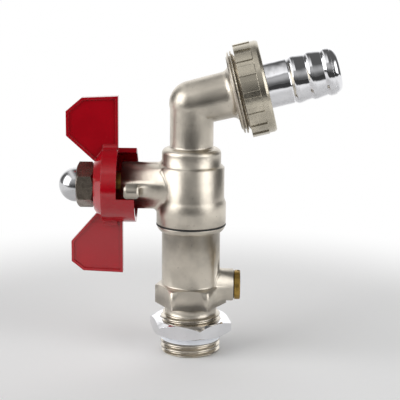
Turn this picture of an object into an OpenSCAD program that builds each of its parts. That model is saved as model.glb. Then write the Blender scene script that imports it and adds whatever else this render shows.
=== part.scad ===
// Hose tap with a ball valve, a check valve in its inlet barrel and a barbed
// hose tail on a union nut. Millimetres, +Z up along the inlet. The origin is
// the centre of the inlet end face, the spout points to +X and the handle
// sits on the -X side.

/* [Inlet thread] */
// Outside diameter of the inlet thread
inlet_thread_dia = 20.955; // [20.4:0.005:21.4]
// Root diameter of the inlet thread, below the lock nut and the sealing ring
inlet_root_dia = 18.63; // [18.3:0.01:19.2]
// Length of full thread below the sealing ring
inlet_free_len = 4.7; // [3.5:0.1:6]
// Length of the whole inlet thread
inlet_thread_len = 14.2; // [13.8:0.1:17]
// Depth of the lead chamfer on the thread's end
inlet_chamfer = 0.5; // [0.2:0.1:1]
// Diameter of the inlet bore, which takes the check valve cartridge
inlet_bore_dia = 15; // [14.6:0.1:15.4]
// Diameter of the plain neck above the thread
relief_dia = 18; // [17.2:0.1:18.2]
// Length of the plain neck above the thread
relief_len = 3.2; // [2:0.1:5]

/* [Inlet hexagon and boss] */
// Width across the flats of the inlet hexagon
hex_af = 22; // [21.5:0.1:24]
// Length of the inlet hexagon
hex_len = 7; // [5:0.1:9]
// Diameter where the hexagon's top chamfer starts
hex_chamfer_dia = 21.8; // [21.4:0.1:22]
// Radius of the hexagon's upright edges
hex_round = 1.1; // [0.4:0.1:2]
// Diameter of the side boss
boss_dia = 11.3; // [10.9:0.1:12.5]
// Reach of the side boss from the inlet axis
boss_reach = 15; // [13.5:0.1:18]
// Height of the boss axis above the underside of the hexagon
boss_rise = 6.6; // [6:0.1:7.2]
// Thread diameter of the test plug
plug_thread_dia = 8; // [7:0.1:8.4]
// Diameter of the test plug's head
plug_head_dia = 10.3; // [9.8:0.1:10.6]
// Thickness of the test plug's head
plug_head_len = 2; // [1.4:0.1:3]
// Width of the test plug's screwdriver slot
plug_slot_w = 1.2; // [0.8:0.1:1.6]
// Depth of the test plug's screwdriver slot
plug_slot_depth = 1.1; // [0.6:0.1:1.3]
// Length of the test plug's threaded shank
plug_shank_len = 7; // [4:0.1:7.2]
// Section diameter of the plug's O-ring
plug_o_ring_section = 1; // [0.8:0.05:1.05]
// Depth of the counterbore that holds the plug's O-ring
plug_recess = 0.7; // [0.4:0.05:0.75]

/* [Barrel] */
// Outside diameter of the barrel
barrel_dia = 20.3; // [19.6:0.1:21]
// Length of the barrel from the hexagon to its collar
barrel_len = 19; // [18.6:0.1:24]
// Height of the rounded collar at the barrel's top
collar_len = 2.2; // [1.8:0.1:2.8]
// Radius that rounds the collar's underside
collar_round = 3.5; // [3:0.1:4.5]
// Diameter of the spigot that screws into the chamber
spigot_dia = 19.2; // [18.8:0.1:19.6]
// Diameter of the waterway above the check valve
barrel_bore_dia = 10.6; // [9:0.1:12]
// Thickness of the ring seal in the joint between barrel and chamber
body_seal_len = 0.4; // [0.3:0.05:0.8]

/* [Ball chamber] */
// Diameter of the chamber's lower ring
chamber_low_dia = 24.1; // [23.6:0.1:26]
// Diameter of the chamber's middle
chamber_mid_dia = 22.8; // [22.2:0.1:23.6]
// Diameter of the chamber's top ring
chamber_top_dia = 20.4; // [20:0.1:21.6]
// Height of the chamber's lower ring
chamber_low_len = 7.4; // [6.6:0.1:8]
// Distance from the chamber's joint up to the stem axis
chamber_drop = 13.2; // [13:0.1:14]
// Height of the middle's top edge above the stem axis
chamber_mid_rise = 6.6; // [6:0.1:7.4]
// Height of the top ring's shoulder above the stem axis
chamber_top_rise = 11.4; // [10.6:0.1:12.4]
// Radius of the shoulder on the top ring
shoulder_round = 1.9; // [1.4:0.1:2]
// Diameter of the ball
ball_dia = 17; // [16.6:0.1:17.2]
// Diameter of the ball's waterway
ball_bore_dia = 10; // [8:0.1:10.4]
// Height of each ball seat
seat_len = 3.2; // [2.6:0.1:3.4]
// Distance from the ball's centre to the back of each seat
seat_back = 7.6; // [7.4:0.1:7.9]
// Inside diameter of each ball seat
seat_bore_dia = 10.4; // [9.6:0.1:11]
// Outside diameter of each ball seat
seat_dia = 17.2; // [16.8:0.1:17.4]

/* [Stem] */
// Diameter of the neck that carries the stem
neck_dia = 16.2; // [15.4:0.1:17.4]
// Reach of the neck from the inlet axis
neck_reach = 23.8; // [23.6:0.1:24.4]
// Diameter of the stem in the neck
stem_dia = 9.7; // [8.8:0.1:10.2]
// Diameter of the gland's thread in the neck's end
gland_dia = 12.4; // [11.8:0.1:12.8]
// Depth of the gland's hole in the neck's end
gland_depth = 7.2; // [6:0.1:7.6]
// Thickness of the collar that keeps the stem in
stem_collar_len = 1.4; // [1:0.1:1.8]
// Thickness of the thrust washer between collar and gland
thrust_washer_len = 1; // [0.6:0.1:1.2]
// Width of the spanner slot across the gland
gland_slot = 2; // [1.2:0.1:2.4]
// Thickness of the tongue that turns the ball
tongue_w = 2.6; // [2:0.1:3.2]
// Depth of the slot in the ball
tongue_depth = 2.2; // [1.6:0.1:2.6]
// Section diameter of the stem's O-rings
stem_o_ring_section = 1.13; // [0.9:0.01:1.3]
// Distance between the two stem O-rings
stem_o_ring_pitch = 3; // [2.4:0.1:4]
// Diameter of the stem's threaded end
stem_thread_dia = 8; // [7.4:0.1:8]
// Width across the two driving flats of the stem
stem_flats = 6; // [5.2:0.1:6.6]

/* [Stop lug] */
// Width of the stop lug along the stem
lug_w = 5.1; // [4:0.1:5.2]
// Height of the stop lug
lug_h = 4.2; // [3.4:0.1:4.4]
// Reach of the stop lug from the stem axis
lug_reach = 12.6; // [11.8:0.1:13.2]
// Distance from the neck's end to the lug
lug_setback = 1.3; // [1:0.1:1.5]

/* [Handle] */
// Outside diameter of the handle's cup
hub_dia = 25.6; // [25:0.1:27]
// Wall thickness of the handle's cup
hub_wall = 1.6; // [1.2:0.1:1.8]
// Distance from the inlet axis to the cup's rim
hub_rim = 25.1; // [25:0.1:25.6]
// Length of the cup's cylindrical skirt
hub_skirt = 5.2; // [4.4:0.1:6]
// Distance from the inlet axis to the handle's outer face
hub_face = 33.2; // [32.8:0.1:34]
// Diameter of the flat on the handle's outer face
hub_face_dia = 18; // [17.2:0.1:20]
// Thickness of the web that the nut clamps
hub_web = 1.7; // [1.4:0.1:2.2]
// Reach of the stop skirt past the cup's rim
stop_skirt = 6.1; // [5:0.1:6.4]
// Play between the stop lug and the skirt at either end of the turn
stop_play = 0.35; // [0.2:0.05:0.5]
// Half of the span across both wings
wing_span = 30.9; // [26:0.1:36]
// Distance from the inlet axis to the wings' inner edge
wing_inner = 24.4; // [24.2:0.1:25]
// Distance from the inlet axis to the wings' outer edge
wing_outer = 42.3; // [38:0.1:46]
// Stagger of the two wings along the stem
wing_skew = 0.7; // [0:0.1:0.9]
// Thickness of the wings' rim
wing_rim_t = 3.4; // [2.6:0.1:4]
// Thickness of the wings' panel
wing_panel_t = 2.2; // [1.4:0.1:2.4]
// Width of the wings' rim
wing_rim_w = 0.9; // [0.6:0.1:1.6]
// Radius of the blend between the cup and the wings
wing_blend = 1.5; // [0.8:0.1:2]

/* [Handle nut] */
// Width across the flats of the handle nut
nut_af = 13.9; // [13:0.1:14.6]
// Height of the handle nut's hexagon
nut_len = 6; // [5.4:0.1:7]
// Outside diameter of the handle nut's cap
cap_dia = 12; // [11.6:0.1:12.6]
// Wall thickness of the cap
cap_wall = 0.6; // [0.4:0.05:0.8]
// Height of the cap's straight foot
cap_foot = 0.45; // [0.3:0.05:1]
// Height of the locking insert
insert_len = 1.8; // [1.2:0.1:2.4]

/* [Spout] */
// Height of the spout's corner above the stem axis
corner_rise = 28.6; // [26:0.1:34]
// Rise of the spout above level
spout_rise = 14; // [5:1:25]
// Outside diameter of the upright tube
tube_dia = 14.95; // [14.2:0.05:15.3]
// Diameter of the rounded corner
corner_dia = 15.5; // [15.4:0.1:15.9]
// Outside diameter of the spout arm at its collar
arm_dia = 16; // [15.9:0.1:17]
// Diameter of the waterway in the upright tube
tube_bore_dia = 10.6; // [9:0.1:11]
// Diameter of the waterway in the spout arm
arm_bore_dia = 10.8; // [10.7:0.1:11.6]
// Distance from the corner to the collar's back
collar_start = 14.7; // [13.5:0.1:18]
// Rise of the spout's collar above its thread
spout_collar_rise = 0.78; // [0.4:0.01:1.4]
// Rise of the thin ring in front of the collar above the thread
spout_ring_rise = 0.98; // [0.5:0.01:1.4]
// Outside diameter of the union thread
union_thread_dia = 26.44; // [26:0.01:26.8]
// Distance from the corner to the spout's end face
spout_end = 21.2; // [20.6:0.1:21.8]

/* [Union nut] */
// Thickness of the union nut's wall outside its thread
union_nut_rib_t = 2.83; // [2.4:0.01:3.6]
// Depth of the grip flutes
flute_depth = 0.45; // [0.3:0.05:0.6]
// Width of the grip flutes
flute_w = 2; // [1.4:0.1:2.8]
// Number of grip flutes
flutes = 18; // [12:1:24]
// Distance from the corner to the union nut's inner face
union_nut_start = 17.8; // [17.6:0.1:18.4]
// Length of the ribbed part of the union nut
flute_len = 5.7; // [4.6:0.1:6.4]
// Length of the whole union nut
union_nut_len = 8.5; // [8.1:0.1:9.6]
// Thickness of the union nut's end wall
union_nut_wall = 1.6; // [1.2:0.1:1.8]
// Thickness of the flat gasket in the union
gasket_len = 1.8; // [1.4:0.1:2]

/* [Hose tail] */
// Outside diameter of the tail's plain part
tail_dia = 16; // [14:0.1:16.4]
// Diameter over the barbs
barb_dia = 16.84; // [16.5:0.02:17.4]
// Diameter in the grooves between the barbs
barb_root_dia = 15.5; // [13.8:0.1:15.6]
// Length of the cylindrical land on each barb's crest
barb_land = 0.8; // [0.5:0.1:1.2]
// Diameter of the tail's waterway
tail_bore_dia = 11.8; // [10:0.1:12.2]
// Length of the plain part outside the union nut
tail_plain_len = 8.1; // [6:0.1:14]
// Distance from one barb to the next
barb_pitch = 5.6; // [5:0.05:7]
// Radial play of the tail's flange inside the union nut
tail_flange_play = 1.47; // [1.1:0.01:2]

/* [Lock nut] */
// Width across the flats of the lock nut
lock_nut_af = 26; // [25:0.1:28]
// Thickness of the lock nut
lock_nut_len = 5.3; // [4.4:0.1:5.6]
// Turn of the lock nut about the inlet
lock_nut_turn = 44.5; // [0:0.5:60]
// Rise of the sealing ring above the inlet thread
sealing_ring_rise = 0.17; // [0.05:0.01:0.8]
// Height of the sealing ring
sealing_ring_len = 2.1; // [1.4:0.1:2.6]

/* [Check valve] */
// Length of the check valve cartridge
cartridge_len = 14; // [13.6:0.1:15]
// Diameter of the cartridge's inlet hole
cartridge_hole_dia = 8.6; // [7.8:0.1:9]
// Diameter of the poppet
poppet_dia = 10; // [9.6:0.1:10.6]
// Diameter of the poppet's guide pin
poppet_pin_dia = 2.2; // [1.8:0.1:2.6]
// Lift of the poppet when the valve is open
poppet_lift = 3; // [2:0.1:3.2]
// Wire diameter of the poppet spring
spring_wire = 0.55; // [0.4:0.05:0.6]
// Number of turns of the poppet spring
spring_turns = 5; // [3:1:5]

/* [Clearances] */
// Radial clearance of turning and sliding fits
run_fit = 0.05; // [0.02:0.01:0.08]
// Gap between parts that must not touch
free_gap = 0.3; // [0.2:0.05:0.35]

/* [Hidden] */
$fn = 72;
eps = 0.01;

// Heights along the inlet axis
hex_z = inlet_thread_len + relief_len;
boss_z = hex_z + boss_rise;
barrel_z = hex_z + hex_len;
collar_z = barrel_z + barrel_len;
seal_z = collar_z + collar_len;
chamber_z = seal_z + body_seal_len;
stem_z = chamber_z + chamber_drop;
corner_z = stem_z + corner_rise;
low_ring_top = chamber_z + chamber_low_len;
ring_step = 1.7;
mid_top = stem_z + chamber_mid_rise;
mid_step = 1.2;
shoulder_z = stem_z + chamber_top_rise;
tube_blend = 0.8;

// Seats and cavity
seat_pocket_dia = seat_dia + 2 * run_fit;
cavity_dia = ball_dia + 2 * free_gap + 0.4;
spigot_top = stem_z - seat_back + seat_len;
female_dia = spigot_dia + 2 * run_fit;

// Stations along the stem, measured outwards from the inlet axis
tongue_start = ball_dia / 2 - tongue_depth + 0.1;
stem_start = spigot_dia / 2 + free_gap;
neck_bore_dia = stem_dia + 2 * run_fit;
o_ring_start = stem_start + stem_o_ring_section + 0.9;
gland_hole_start = neck_reach - gland_depth;
stem_collar_start = gland_hole_start + run_fit;
washer_start = stem_collar_start + stem_collar_len;
gland_start = washer_start + thrust_washer_len + run_fit;
gland_hole_dia = gland_dia + 2 * run_fit;
web_start = hub_face - hub_web;
nut_start = hub_face + 0.15;
nut_end = nut_start + nut_len;
cap_centre = nut_end + cap_foot;
stem_end = nut_end + 2;
stem_chamfer = 0.6;
hub_inner_dia = hub_dia - 2 * hub_wall;
cone_start = hub_rim + hub_skirt;

// Stop lug
lug_drop = 0.3;
lug_start = neck_reach - lug_setback;
lug_round = 1;

// Lock nut and sealing ring
ring_z = inlet_free_len + 0.1;
lock_nut_z = ring_z + sealing_ring_len;
nut_thread_bore = inlet_root_dia + 2 * run_fit;
sealing_ring_dia = inlet_thread_dia + 2 * sealing_ring_rise;

// Stations along the spout, measured from its corner
collar_len_spout = 1;
ring_gap = 0.5;
ring_len_spout = 0.5;
collar_front = collar_start + collar_len_spout;
spout_ring_start = collar_front + ring_gap;
thread_start = spout_ring_start + ring_len_spout;
gasket_start = spout_end + 0.02;
flange_start = gasket_start + gasket_len;
union_nut_end = union_nut_start + union_nut_len;
end_wall_start = union_nut_end - union_nut_wall;
union_bore_dia = union_thread_dia + 2 * run_fit;
tail_flange_dia = union_bore_dia - 2 * tail_flange_play;
barb_start = union_nut_end + tail_plain_len;
barbs = 3;
tail_end = barb_start + barbs * barb_pitch - 0.1;

// Check valve
cartridge_top = collar_z - 1.9;
cartridge_z = cartridge_top - cartridge_len;
cartridge_dia = inlet_bore_dia - 0.2;
cartridge_floor = 2.1;
seat_face_z = cartridge_z + cartridge_floor;
poppet_seal_len = 1;
poppet_disc_z = seat_face_z + poppet_seal_len;
poppet_disc_len = 1;
guide_len = 1.3;
guide_hub_len = 3;
guide_z = cartridge_top - guide_len - free_gap;
guide_hub_z = guide_z + guide_len - guide_hub_len;
cartridge_inner_dia = poppet_dia + 1.6;
guide_seat_dia = cartridge_inner_dia + 0.9;
valve_o_ring_z = cartridge_top - 4.8;
valve_o_ring_section = 0.92;
valve_groove_dia = inlet_bore_dia - 2 * valve_o_ring_section - 0.06;
spring_start = poppet_disc_z + poppet_disc_len + spring_wire / 2;
spring_end = guide_hub_z - spring_wire / 2;
spring_r = poppet_pin_dia / 2 + spring_wire / 2 + 0.25;

// Finishes
nickel = [0.72, 0.69, 0.63];
chrome = [0.8, 0.81, 0.83];
brass = [0.72, 0.56, 0.26];
paint_red = [0.68, 0.02, 0.06];
rubber = [0.06, 0.06, 0.06];
white_plastic = [0.92, 0.93, 0.95];
grey_plastic = [0.75, 0.77, 0.8];
dark_steel = [0.34, 0.31, 0.28];
spring_steel = [0.6, 0.6, 0.6];

// Frame whose +Z runs out along the stem, with +X up
module along_stem(s = 0) {
    translate([-s, 0, stem_z]) rotate([0, -90, 0]) children();
}

// Frame whose +Z runs out along the spout, from its corner
module along_spout(t = 0) {
    translate([0, 0, corner_z]) rotate([0, 90 - spout_rise, 0]) translate([0, 0, t]) children();
}

// Frame whose +Z runs out along the side boss
module along_boss(x = 0) {
    translate([x, 0, boss_z]) rotate([0, 90, 0]) children();
}

// Cylinder shell between two stations of a profile
module tube_wall(outer, inner, z, len) {
    translate([0, 0, z]) difference() {
        cylinder(d = outer, h = len);
        translate([0, 0, -1]) cylinder(d = inner, h = len + 2);
    }
}

// Outline of a hexagon, one of its corners on +X
module hexagon(af)
    polygon([for (k = [0:5]) af / 2 / cos(30) * [cos(60 * k), sin(60 * k)]]);

// Outline of a hexagon with rounded corners
module rounded_hexagon(af, round) {
    centre_r = (af / 2 - round) / cos(30);
    polygon([for (k = [0:5], side = [-1, 1]) centre_r * [cos(60 * k), sin(60 * k)]
        + round * [cos(60 * k + 30 * side), sin(60 * k + 30 * side)]]);
    for (k = [0:5]) rotate(60 * k) translate([centre_r, 0]) circle(r = round);
}

// Hexagon prism whose ends are chamfered at 30 degrees from the given diameters
module chamfered_hex(af, len, low_dia, high_dia) {
    outer_r = af / 2 / cos(30) + 1;
    drop = tan(30);
    intersection() {
        linear_extrude(len) children();
        rotate_extrude() polygon([
            [0, 0], [low_dia / 2, 0],
            [outer_r, (outer_r - low_dia / 2) * drop],
            [outer_r, len - (outer_r - high_dia / 2) * drop],
            [high_dia / 2, len], [0, len]]);
    }
}

// Rubber ring of round section
module o_ring(inner_dia, section) {
    rotate_extrude() translate([inner_dia / 2 + section / 2, 0]) circle(d = section, $fn = 24);
}

// Corner points of an outline, moved inwards by d. The outline runs anticlockwise.
function inset(p, d) = [for (i = [0:len(p) - 1])
    let (a = p[(i + len(p) - 1) % len(p)], b = p[i], c = p[(i + 1) % len(p)],
        u = (b - a) / norm(b - a), v = (c - b) / norm(c - b),
        m = [-u[1], u[0]], n = [-v[1], v[0]])
    b + d * (m + n) / (1 + m * n)];

// Outline of the chamber and the upright tube, as radius and height
module chamber_profile() {
    top_r = chamber_top_dia / 2;
    tube_r = tube_dia / 2;
    shoulder_r = top_r - shoulder_round;
    shoulder_top = shoulder_z + shoulder_round;
    polygon([
        [0, chamber_z], [chamber_low_dia / 2 - 0.3, chamber_z],
        [chamber_low_dia / 2, chamber_z + 0.3], [chamber_low_dia / 2, low_ring_top],
        [chamber_mid_dia / 2, low_ring_top + ring_step], [chamber_mid_dia / 2, mid_top],
        [top_r, mid_top + mid_step], [top_r, shoulder_z], [0, shoulder_z]]);
    translate([0, shoulder_z]) square([shoulder_r, shoulder_round]);
    translate([shoulder_r, shoulder_z]) intersection() {
        circle(r = shoulder_round);
        square(shoulder_round);
    }
    difference() {
        translate([0, shoulder_top]) square([tube_r + tube_blend, tube_blend]);
        translate([tube_r + tube_blend, shoulder_top + tube_blend]) circle(r = tube_blend);
    }
    translate([0, shoulder_top]) square([tube_r, corner_z - shoulder_top]);
}

// Outline of the spout arm with its rounded corner, collar, thin ring and thread
module arm_profile() {
    corner_r = corner_dia / 2;
    arm_r = arm_dia / 2;
    collar_r = union_thread_dia / 2 + spout_collar_rise;
    blend = 2.4;
    slope = 0.5;
    thread_r = union_thread_dia / 2;
    intersection() {
        circle(r = corner_r);
        translate([0, -corner_r]) square([corner_r, corner_r + eps]);
    }
    polygon([[0, 0], [corner_r, 0], [arm_r, collar_start - blend], [arm_r, collar_start],
        [0, collar_start]]);
    difference() {
        translate([arm_r - eps, collar_start - blend]) square([blend + eps, blend]);
        translate([arm_r + blend, collar_start - blend]) circle(r = blend);
    }
    polygon([[0, collar_start - eps], [arm_r + blend, collar_start - eps],
        [collar_r - 0.2, collar_start + slope], [collar_r, collar_start + slope + 0.2],
        [collar_r, collar_front], [0, collar_front]]);
    translate([0, collar_start]) square([thread_r - 0.6, spout_ring_start + eps - collar_start]);
    translate([0, spout_ring_start]) square([thread_r + spout_ring_rise, ring_len_spout]);
    polygon([[0, thread_start], [thread_r, thread_start], [thread_r, spout_end - 0.6],
        [thread_r - 0.6, spout_end], [0, spout_end]]);
}

// Cast stop lug on the front of the neck
module stop_lug() {
    base = 2.4;
    mid_z = stem_z - lug_drop;
    translate([-lug_start + lug_w / 2, -lug_reach, mid_z]) rotate([-90, 0, 0])
        linear_extrude(lug_reach - neck_dia / 4) {
            square([lug_w - 2 * lug_round, lug_h], center = true);
            square([lug_w, lug_h - 2 * lug_round], center = true);
            for (sx = [-1, 1], sy = [-1, 1])
                translate([sx * (lug_w / 2 - lug_round), sy * (lug_h / 2 - lug_round)])
                    circle(r = lug_round);
        }
    translate([0, 0, mid_z - lug_h / 2 + 0.4]) linear_extrude(lug_h - 0.8) polygon([
        [-lug_start, -neck_dia / 4], [-lug_start, -lug_reach + 2],
        [-lug_start + lug_w, -lug_reach + 2],
        [-lug_start + lug_w + base, -neck_dia / 2 + 0.3],
        [-lug_start + lug_w + base, -neck_dia / 4]]);
}

// Forged body: ball chamber, stem neck, upright tube and spout in one piece
module tap_body() color(nickel) difference() {
    union() {
        rotate_extrude() chamber_profile();
        along_stem() cylinder(d = neck_dia, h = neck_reach);
        along_spout() rotate_extrude() arm_profile();
        stop_lug();
    }
    rotate_extrude() polygon([
        [0, chamber_z - 1], [female_dia / 2, chamber_z - 1],
        [female_dia / 2, spigot_top + 0.2], [cavity_dia / 2, spigot_top + 0.2],
        [cavity_dia / 2, stem_z + 3], [seat_pocket_dia / 2, stem_z + 3],
        [seat_pocket_dia / 2, stem_z + seat_back], [tube_bore_dia / 2, stem_z + seat_back],
        [tube_bore_dia / 2, corner_z], [0, corner_z]]);
    along_stem() cylinder(d = neck_bore_dia, h = neck_reach);
    along_stem(gland_hole_start) cylinder(d = gland_hole_dia, h = gland_depth + 1);
    along_spout() rotate_extrude() {
        intersection() {
            circle(d = arm_bore_dia);
            translate([0, -arm_bore_dia]) square([arm_bore_dia, arm_bore_dia + eps]);
        }
        square([arm_bore_dia / 2, spout_end + 1]);
    }
}

// Outline of the inlet body without its hexagon
module inlet_profile() {
    thread_r = inlet_thread_dia / 2;
    root_r = inlet_root_dia / 2;
    barrel_r = barrel_dia / 2;
    top_r = chamber_low_dia / 2;
    foot = 0.6;
    polygon([
        [0, 0], [thread_r - inlet_chamfer / 2, 0], [thread_r, inlet_chamfer],
        [thread_r, inlet_free_len], [root_r, inlet_free_len],
        [root_r, inlet_thread_len - 0.3], [relief_dia / 2, inlet_thread_len],
        [relief_dia / 2, barrel_z - 1], [barrel_r, barrel_z - 1], [barrel_r, seal_z],
        [spigot_dia / 2, seal_z], [spigot_dia / 2, spigot_top - 0.4],
        [spigot_dia / 2 - 0.4, spigot_top], [0, spigot_top]]);
    difference() {
        translate([barrel_r - eps, barrel_z - eps]) square([foot + eps, foot + eps]);
        translate([barrel_r + foot, barrel_z + foot]) circle(r = foot);
    }
    intersection() {
        translate([0, collar_z]) square([top_r, collar_len]);
        union() {
            translate([top_r - collar_round, seal_z + 0.7]) circle(r = collar_round);
            square([top_r - collar_round, seal_z]);
        }
    }
}

// Inlet body: thread, hexagon, side boss and barrel in one piece
module inlet_body() color(nickel) difference() {
    union() {
        rotate_extrude() inlet_profile();
        translate([0, 0, hex_z]) chamfered_hex(hex_af, hex_len, hex_af + 4, hex_chamfer_dia)
            rounded_hexagon(hex_af, hex_round);
        along_boss() cylinder(d = boss_dia, h = boss_reach - 0.3);
        along_boss(boss_reach - 0.3) cylinder(d1 = boss_dia, d2 = boss_dia - 0.5, h = 0.3);
    }
    rotate_extrude() polygon([
        [0, -1], [inlet_bore_dia / 2 + 0.6, -1], [inlet_bore_dia / 2 + 0.6, 0],
        [inlet_bore_dia / 2, 0.6], [inlet_bore_dia / 2, cartridge_top + 0.05],
        [barrel_bore_dia / 2, cartridge_top + 0.05], [barrel_bore_dia / 2, stem_z - seat_back],
        [seat_pocket_dia / 2, stem_z - seat_back], [seat_pocket_dia / 2, spigot_top + 1],
        [0, spigot_top + 1]]);
    along_boss() cylinder(d = plug_thread_dia + 2 * run_fit, h = boss_reach + 1);
    along_boss(boss_reach - plug_recess) cylinder(d = plug_head_dia, h = 2);
}

// Flat ring that seals the joint between barrel and chamber
module body_seal_ring() color(rubber)
    tube_wall(chamber_low_dia + 0.1, female_dia, seal_z, body_seal_len);

// Ball with its waterway and the slot for the stem's tongue
module ball() color(chrome) difference() {
    translate([0, 0, stem_z]) sphere(d = ball_dia);
    translate([0, 0, stem_z - ball_dia]) cylinder(d = ball_bore_dia, h = 2 * ball_dia);
    translate([-ball_dia, -ball_dia, stem_z - tongue_w / 2 - 0.1])
        cube([ball_dia / 2 + tongue_depth, 2 * ball_dia, tongue_w + 0.2]);
}

// Seat ring above the ball, hollowed to the ball's radius
module seat_above() rotate_extrude() difference() {
    translate([seat_bore_dia / 2, seat_back - seat_len])
        square([(seat_dia - seat_bore_dia) / 2, seat_len]);
    circle(r = ball_dia / 2 + run_fit);
}

module upper_ball_seat() color(white_plastic) translate([0, 0, stem_z]) seat_above();

module lower_ball_seat() color(white_plastic)
    translate([0, 0, stem_z]) mirror([0, 0, 1]) seat_above();

// Stem with its tongue, collar, O-ring grooves, driving flats and threaded end
module stem() color(brass) along_stem() {
    groove_len = stem_o_ring_section + 0.3;
    groove_dia = neck_bore_dia - 2 * stem_o_ring_section - 0.04;
    difference() {
        union() {
            translate([0, 0, stem_collar_start]) cylinder(d = gland_dia - 0.2, h = stem_collar_len);
            intersection() {
                translate([-tongue_w / 2, -ball_dia / 2, tongue_start])
                    cube([tongue_w, ball_dia, stem_start - tongue_start + 0.5]);
                cylinder(d = stem_dia - 2, h = stem_end);
            }
            translate([0, 0, stem_start]) cylinder(d = stem_dia, h = web_start - stem_start);
            intersection() {
                translate([0, 0, web_start - 0.5])
                    cylinder(d = stem_thread_dia, h = hub_web + 0.5 + 2 * run_fit);
                translate([-stem_thread_dia, -stem_flats / 2, 0])
                    cube([2 * stem_thread_dia, stem_flats, stem_end]);
            }
            translate([0, 0, hub_face + run_fit])
                cylinder(d = stem_thread_dia, h = stem_end - hub_face - run_fit - stem_chamfer);
            translate([0, 0, stem_end - stem_chamfer])
                cylinder(d1 = stem_thread_dia, d2 = stem_thread_dia - 2 * stem_chamfer, h = stem_chamfer);
        }
        for (i = [0, 1]) {
            z = o_ring_start + i * stem_o_ring_pitch - groove_len / 2;
            tube_wall(stem_dia + 1, groove_dia, z, groove_len);
        }
    }
}

module stem_thrust_washer() color(white_plastic) along_stem()
    tube_wall(gland_dia - 0.2, neck_bore_dia, washer_start, thrust_washer_len);

// Gland that is screwed into the neck's end and keeps the stem in
module stem_gland() color(brass) along_stem() difference() {
    translate([0, 0, gland_start]) cylinder(d = gland_dia, h = neck_reach - gland_start - 0.2);
    translate([0, 0, gland_start - 1]) cylinder(d = neck_bore_dia, h = gland_depth + 2);
    translate([-gland_slot / 2, -gland_dia, neck_reach - 1.4]) cube([gland_slot, 2 * gland_dia, 2]);
}

module stem_o_ring(i) color(rubber)
    along_stem(o_ring_start + i * stem_o_ring_pitch)
        o_ring(neck_bore_dia - 2 * stem_o_ring_section - 0.04, stem_o_ring_section);

module stem_o_ring_inner() stem_o_ring(0);

module stem_o_ring_outer() stem_o_ring(1);

// Outline of one wing as height and distance along the stem. side is 1 above, -1 below.
function wing_points(side) = let (
        tip = wing_span, inner = wing_inner + side * wing_skew,
        outer = wing_outer + side * wing_skew, root = hub_dia / 2 - 4)
    [[root, inner], [tip, inner], [tip - 0.6, outer - 4.8 - side * wing_skew],
        [tip - 4.6 - side * 0.7, outer], [tip - 12.4 - side * 1.3, outer],
        [root - side * 0.9, hub_face - 0.5]];

// One cast wing: a panel inside a raised rim
module wing(side) {
    outline = wing_points(side);
    pocket = (wing_rim_t - wing_panel_t) / 2;
    mirror([side < 0 ? 1 : 0, 0, 0]) difference() {
        rotate([90, 0, 0]) linear_extrude(wing_rim_t, center = true) polygon(outline);
        for (face = [-1, 1])
            translate([0, face * (wing_panel_t + pocket + 1) / 2, 0]) rotate([90, 0, 0])
                linear_extrude(pocket + 1, center = true) polygon(inset(outline, wing_rim_w));
    }
}

// Blend between the cup's skirt and a wing's plate
module wing_root() {
    r = hub_dia / 2;
    half = wing_rim_t / 2;
    reach = r + wing_blend;
    translate([0, 0, hub_rim + 0.3]) linear_extrude(hub_skirt - 0.3) difference() {
        translate([r - 2, -half - wing_blend]) square([wing_blend + 2, 2 * (half + wing_blend)]);
        for (y = [-1, 1]) translate([reach, y * (half + wing_blend)]) circle(r = wing_blend);
    }
}

// Handle: a cup with a stop skirt and two wings, cast in one piece
module handle() color(paint_red) along_stem() difference() {
    union() {
        rotate_extrude() polygon([
            [0, hub_rim + 0.5], [hub_inner_dia / 2 + 0.3, hub_rim + 0.5],
            [hub_inner_dia / 2 + 0.3, hub_rim], [hub_dia / 2, hub_rim],
            [hub_dia / 2, cone_start], [hub_face_dia / 2, hub_face], [0, hub_face]]);
        difference() {
            tube_wall(hub_dia, hub_inner_dia, hub_rim - stop_skirt, stop_skirt + 0.5);
            translate([-lug_drop - lug_h / 2 - stop_play, -hub_dia, 0])
                cube([2 * hub_dia, hub_dia + lug_h / 2 - lug_drop + stop_play, hub_rim]);
        }
        for (side = [-1, 1]) wing(side);
        for (side = [0, 1]) mirror([side, 0, 0]) wing_root();
    }
    rotate_extrude() polygon([
        [0, hub_rim - 2], [hub_inner_dia / 2, hub_rim - 2],
        [hub_inner_dia / 2, cone_start - 0.7], [hub_face_dia / 2 - 0.6, web_start],
        [0, web_start]]);
    intersection() {
        cylinder(d = stem_thread_dia + 2 * run_fit, h = 2 * hub_face);
        translate([-hub_dia, -stem_flats / 2 - run_fit, 0])
            cube([2 * hub_dia, stem_flats + 2 * run_fit, 2 * hub_face]);
    }
}

// Hexagon of the lock nut on the stem
module handle_nut() color(dark_steel) along_stem(nut_start) difference() {
    chamfered_hex(nut_af, nut_len, nut_af - 0.6, nut_af - 0.6) hexagon(nut_af);
    translate([0, 0, -1]) cylinder(d = stem_thread_dia + 2 * run_fit, h = nut_len + 2);
    translate([0, 0, -0.01]) cylinder(d1 = stem_thread_dia + 1, d2 = stem_thread_dia, h = 0.5);
    translate([0, 0, nut_len - insert_len]) cylinder(d = cap_dia - 2 * cap_wall, h = insert_len + 1);
}

// Thin domed cap that closes the nut
module handle_nut_cap() color(chrome) along_stem(cap_centre) rotate_extrude() {
    inner = cap_dia / 2 - cap_wall;
    intersection() {
        difference() {
            circle(d = cap_dia);
            circle(r = inner);
        }
        square(cap_dia);
    }
    translate([inner, -cap_foot]) square([cap_wall, cap_foot + eps]);
}

// Plastic ring that grips the thread
module handle_nut_insert() color(white_plastic) along_stem(nut_end - insert_len)
    tube_wall(cap_dia - 2 * cap_wall - 0.1, stem_thread_dia + run_fit, 0, insert_len);

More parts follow.
